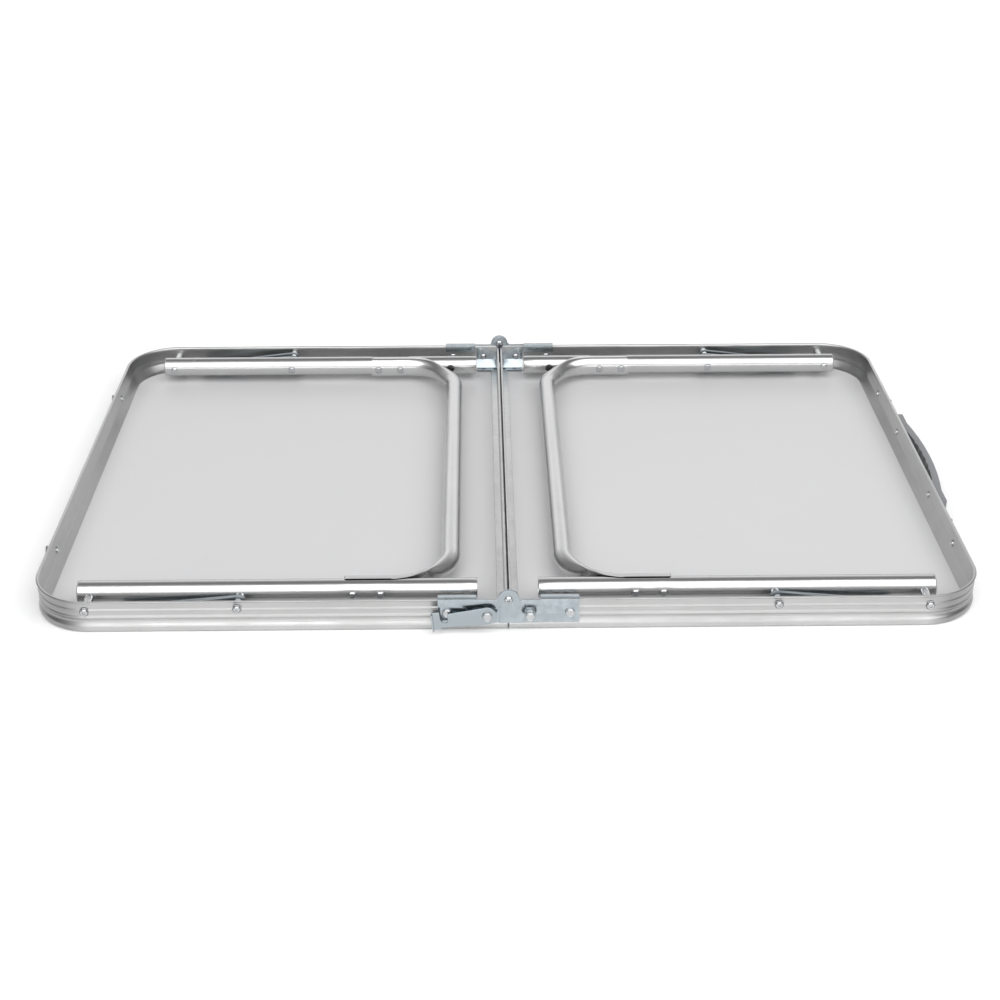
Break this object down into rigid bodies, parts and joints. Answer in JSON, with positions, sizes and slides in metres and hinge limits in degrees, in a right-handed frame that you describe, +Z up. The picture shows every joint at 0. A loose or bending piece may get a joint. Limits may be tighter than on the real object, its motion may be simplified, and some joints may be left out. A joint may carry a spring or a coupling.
{
  "type": "folding camping table",
  "caption": "Folding camping table lying face down and opened flat: framed halves hinged at a seam, folding leg frames on knee braces, lock lever, case catches and carry handle.",
  "frame": {"origin": "on the plane the rim rests on, in the middle of the seam between the halves", "axes": "+X along the open table toward the half with the carry handle, +Y across it away from the lock lever, +Z up from the worktop face, which points down"},
  "size_m": [0.9213, 0.6171, 0.0446],
  "materials": {
    "rail_aluminium": "satin bright extrusion",
    "tube_aluminium": "bright drawn tube",
    "board": "smooth white laminate",
    "zinc_sheet": "bright zinc plate",
    "link_steel": "zinc plate, dull",
    "rivet_steel": "bright rivets",
    "plug_plastic": "grey moulded",
    "grip_plastic": "grey moulded"
  },
  "bodies": {
    "left_half": {"left_edge_rail": "rail_aluminium", "left_centre_rail": "rail_aluminium", "left_top_board": "board", "left_leaf_front": "zinc_sheet", "left_leaf_rear": "zinc_sheet", "left_bracket_front": "zinc_sheet", "left_bracket_rear": "zinc_sheet", "left_rivets": "rivet_steel", "left_leg_pins": "rivet_steel", "left_brace_pins": "rivet_steel", "hinge_pins": "rivet_steel", "lever_stud": "rivet_steel", "catch_keepers": "rivet_steel"},
    "right_half": {"right_edge_rail": "rail_aluminium", "right_centre_rail": "rail_aluminium", "right_top_board": "board", "right_leaf_front": "zinc_sheet", "right_leaf_rear": "zinc_sheet", "right_bracket_front": "zinc_sheet", "right_bracket_rear": "zinc_sheet", "right_rivets": "rivet_steel", "right_leg_pins": "rivet_steel", "right_brace_pins": "rivet_steel", "lock_stud": "rivet_steel", "catch_pins": "rivet_steel", "handle_grip": "grip_plastic", "handle_rivets": "rivet_steel"},
    "lever": {"lock_lever": "zinc_sheet"},
    "hook_front": {"catch_hook_front": "zinc_sheet"},
    "hook_rear": {"catch_hook_rear": "zinc_sheet"},
    "left_legs": {"left_leg_front": "tube_aluminium", "left_leg_rear": "tube_aluminium", "left_cross_tube": "tube_aluminium", "left_saddle_rivets": "rivet_steel", "left_end_plugs": "plug_plastic", "left_link_pins": "rivet_steel"},
    "left_rail_link_front": {"left_rail_link_front": "link_steel"},
    "left_leg_link_front": {"left_leg_link_front": "link_steel"},
    "left_rail_link_rear": {"left_rail_link_rear": "link_steel"},
    "left_leg_link_rear": {"left_leg_link_rear": "link_steel"},
    "right_legs": {"right_leg_front": "tube_aluminium", "right_leg_rear": "tube_aluminium", "right_cross_tube": "tube_aluminium", "right_saddle_rivets": "rivet_steel", "right_end_plugs": "plug_plastic", "right_link_pins": "rivet_steel"},
    "right_rail_link_front": {"right_rail_link_front": "link_steel"},
    "right_leg_link_front": {"right_leg_link_front": "link_steel"},
    "right_rail_link_rear": {"right_rail_link_rear": "link_steel"},
    "right_leg_link_rear": {"right_leg_link_rear": "link_steel"}
  },
  "joints": [
    {"name": "fold", "type": "hinge", "parent": "left_half", "child": "right_half", "pos_m": [0, 0, 0.0346], "axis": [0, 1, 0], "range_deg": [-180, 0]},
    {"name": "lever_turn", "type": "hinge", "parent": "left_half", "child": "lever", "pos_m": [-0.02, -0.3, 0.0195], "axis": [0, 1, 0], "range_deg": [0, 186]},
    {"name": "hook_front_turn", "type": "hinge", "parent": "right_half", "child": "hook_front", "pos_m": [0.45, -0.178, 0.0195], "axis": [1, 0, 0], "range_deg": [0, 90]},
    {"name": "hook_rear_turn", "type": "hinge", "parent": "right_half", "child": "hook_rear", "pos_m": [0.45, 0.178, 0.0195], "axis": [-1, 0, 0], "range_deg": [0, 90]},
    {"name": "left_legs_open", "type": "hinge", "parent": "left_half", "child": "left_legs", "pos_m": [-0.395, 0, 0.0225], "axis": [0, -1, 0], "range_deg": [0, 98.8]},
    {"name": "left_rail_link_front_turn", "type": "hinge", "parent": "left_half", "child": "left_rail_link_front", "pos_m": [-0.253, -0.282, 0.0246], "axis": [0, 1, 0], "range_deg": [0, 46.88]},
    {"name": "left_leg_link_front_turn", "type": "hinge", "parent": "left_legs", "child": "left_leg_link_front", "pos_m": [-0.253, -0.282, 0.0225], "axis": [0, -1, 0], "range_deg": [0, 35.54]},
    {"name": "left_rail_link_rear_turn", "type": "hinge", "parent": "left_half", "child": "left_rail_link_rear", "pos_m": [-0.253, 0.282, 0.0246], "axis": [0, 1, 0], "range_deg": [0, 46.88]},
    {"name": "left_leg_link_rear_turn", "type": "hinge", "parent": "left_legs", "child": "left_leg_link_rear", "pos_m": [-0.253, 0.282, 0.0225], "axis": [0, -1, 0], "range_deg": [0, 35.54]},
    {"name": "right_legs_open", "type": "hinge", "parent": "right_half", "child": "right_legs", "pos_m": [0.395, 0, 0.0225], "axis": [0, 1, 0], "range_deg": [0, 98.8]},
    {"name": "right_rail_link_front_turn", "type": "hinge", "parent": "right_half", "child": "right_rail_link_front", "pos_m": [0.253, -0.282, 0.0246], "axis": [0, -1, 0], "range_deg": [0, 46.88]},
    {"name": "right_leg_link_front_turn", "type": "hinge", "parent": "right_legs", "child": "right_leg_link_front", "pos_m": [0.253, -0.282, 0.0225], "axis": [0, 1, 0], "range_deg": [0, 35.54]},
    {"name": "right_rail_link_rear_turn", "type": "hinge", "parent": "right_half", "child": "right_rail_link_rear", "pos_m": [0.253, 0.282, 0.0246], "axis": [0, -1, 0], "range_deg": [0, 46.88]},
    {"name": "right_leg_link_rear_turn", "type": "hinge", "parent": "right_legs", "child": "right_leg_link_rear", "pos_m": [0.253, 0.282, 0.0225], "axis": [0, 1, 0], "range_deg": [0, 35.54]}
  ],
  "couplings": [
    {"joint": "left_rail_link_front_turn", "follows": "left_legs_open", "ratio": 0.47398},
    {"joint": "left_leg_link_front_turn", "follows": "left_legs_open", "ratio": 0.35919},
    {"joint": "left_rail_link_rear_turn", "follows": "left_legs_open", "ratio": 0.47398},
    {"joint": "left_leg_link_rear_turn", "follows": "left_legs_open", "ratio": 0.35919},
    {"joint": "right_rail_link_front_turn", "follows": "right_legs_open", "ratio": 0.47398},
    {"joint": "right_leg_link_front_turn", "follows": "right_legs_open", "ratio": 0.35919},
    {"joint": "right_rail_link_rear_turn", "follows": "right_legs_open", "ratio": 0.47398},
    {"joint": "right_leg_link_rear_turn", "follows": "right_legs_open", "ratio": 0.35919}
  ]
}
